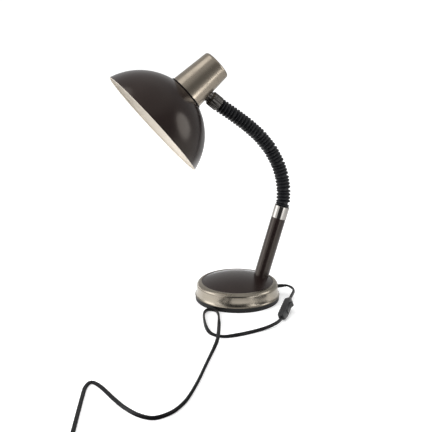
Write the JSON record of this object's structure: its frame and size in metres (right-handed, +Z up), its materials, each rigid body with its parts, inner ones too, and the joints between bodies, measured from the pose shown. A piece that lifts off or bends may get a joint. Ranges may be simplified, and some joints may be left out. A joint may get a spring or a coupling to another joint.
{
  "type": "desk lamp",
  "caption": "Desk lamp with a dome shade and tube housing on a ribbed flexible neck, a leaning post, a round weighted base and a cord with an in-line rocker switch.",
  "frame": {"origin": "centre of the underside of the foot pad, on the surface that the lamp stands on", "axes": "+Z up; the neck and the head hang out towards -X; the plane y = 0 holds the post, the neck and the axis of the head"},
  "size_m": [0.4439, 0.6177, 0.4054],
  "materials": {
    "rubber_black": "matte",
    "black_plastic": "satin",
    "steel_zinc": "satin",
    "ballast": "matte",
    "satin_nickel": "satin",
    "brown_enamel": "gloss",
    "cord_black": "satin",
    "brass_tube": "satin",
    "chrome": "polished",
    "gooseneck_steel": "satin",
    "sleeve_black": "satin",
    "coupler_grey": "satin",
    "bakelite": "satin",
    "porcelain": "gloss",
    "bulb_glass": "matte",
    "cap_metal": "satin",
    "switch_black": "satin",
    "plug_black": "satin",
    "pin_metal": "polished"
  },
  "bodies": {
    "base": {"foot_pad": "rubber_black", "base_tray": "black_plastic", "tray_screws": "steel_zinc", "base_weight": "ballast", "base_ring": "satin_nickel", "base_cover": "brown_enamel", "cord_relief": "black_plastic", "inner_flex_base": "cord_black", "post_tube": "brown_enamel", "post_plug": "steel_zinc", "post_nipple": "brass_tube", "post_washer": "steel_zinc", "post_nut": "steel_zinc", "collar": "chrome", "gooseneck_foot": "gooseneck_steel", "gooseneck_nut": "steel_zinc", "sleeve_foot": "sleeve_black", "cord_upper": "cord_black", "switch_back": "switch_black", "switch_front": "switch_black", "switch_contacts": "brass_tube", "switch_screws": "steel_zinc", "cord_lower": "cord_black", "cord_coil": "cord_black", "cord_tail": "cord_black", "plug_body": "plug_black", "plug_pins": "pin_metal"},
    "neck_1": {"sleeve_1": "sleeve_black", "gooseneck_1": "gooseneck_steel"},
    "neck_2": {"sleeve_2": "sleeve_black", "gooseneck_2": "gooseneck_steel"},
    "neck_3": {"sleeve_3": "sleeve_black", "gooseneck_3": "gooseneck_steel"},
    "neck_4": {"sleeve_4": "sleeve_black", "gooseneck_4": "gooseneck_steel"},
    "neck_5": {"sleeve_5": "sleeve_black", "gooseneck_5": "gooseneck_steel"},
    "neck_6": {"sleeve_6": "sleeve_black", "gooseneck_6": "gooseneck_steel"},
    "neck_7": {"sleeve_7": "sleeve_black", "gooseneck_7": "gooseneck_steel"},
    "head": {"sleeve_head": "sleeve_black", "gooseneck_head": "gooseneck_steel", "coupler": "coupler_grey", "coupler_nut": "steel_zinc", "housing": "satin_nickel", "shade_gasket": "rubber_black", "shade": "brown_enamel", "holder_body": "bakelite", "holder_ring_nut": "bakelite", "holder_shell": "brass_tube", "holder_insert": "porcelain", "holder_contact": "brass_tube", "holder_bracket": "steel_zinc", "holder_nipple": "brass_tube", "holder_nut": "steel_zinc", "inner_flex_head": "cord_black", "bulb_glass": "bulb_glass", "bulb_cap": "cap_metal"},
    "rocker": {"switch_rocker": "switch_black"}
  },
  "joints": [
    {"name": "neck_tilt_1", "type": "hinge", "parent": "base", "child": "neck_1", "pos_m": [0.07852, 0, 0.15779], "axis": [0, -1, 0], "range_deg": [-34, 3]},
    {"name": "neck_side_1", "type": "hinge", "parent": "neck_1", "child": "neck_2", "pos_m": [0.07896, 0, 0.18058], "axis": [0.9974, 0, 0.0724], "range_deg": [-15, 15]},
    {"name": "neck_tilt_2", "type": "hinge", "parent": "neck_2", "child": "neck_3", "pos_m": [0.07524, 0, 0.20308], "axis": [0, -1, 0], "range_deg": [-28, 9]},
    {"name": "neck_side_2", "type": "hinge", "parent": "neck_3", "child": "neck_4", "pos_m": [0.06785, 0, 0.22465], "axis": [0.9143, 0, 0.4051], "range_deg": [-15, 15]},
    {"name": "neck_tilt_3", "type": "hinge", "parent": "neck_4", "child": "neck_5", "pos_m": [0.05408, 0, 0.2496], "axis": [0, -1, 0], "range_deg": [-29, 8]},
    {"name": "neck_side_3", "type": "hinge", "parent": "neck_5", "child": "neck_6", "pos_m": [0.03599, 0, 0.27162], "axis": [0.7236, 0, 0.6903], "range_deg": [-16, 16]},
    {"name": "neck_tilt_4", "type": "hinge", "parent": "neck_6", "child": "neck_7", "pos_m": [0.01484, 0, 0.29073], "axis": [0, -1, 0], "range_deg": [-23.5, 13]},
    {"name": "head_side", "type": "hinge", "parent": "neck_7", "child": "head", "pos_m": [-0.00789, 0, 0.30792], "axis": [0.5892, 0, 0.808], "range_deg": [-18, 18]},
    {"name": "switch_rock", "type": "hinge", "parent": "base", "child": "rocker", "pos_m": [0.05118, -0.09707, 0.01212], "axis": [-0.3651, 0.0726, 0.9281], "range_deg": [0, 14]}
  ]
}
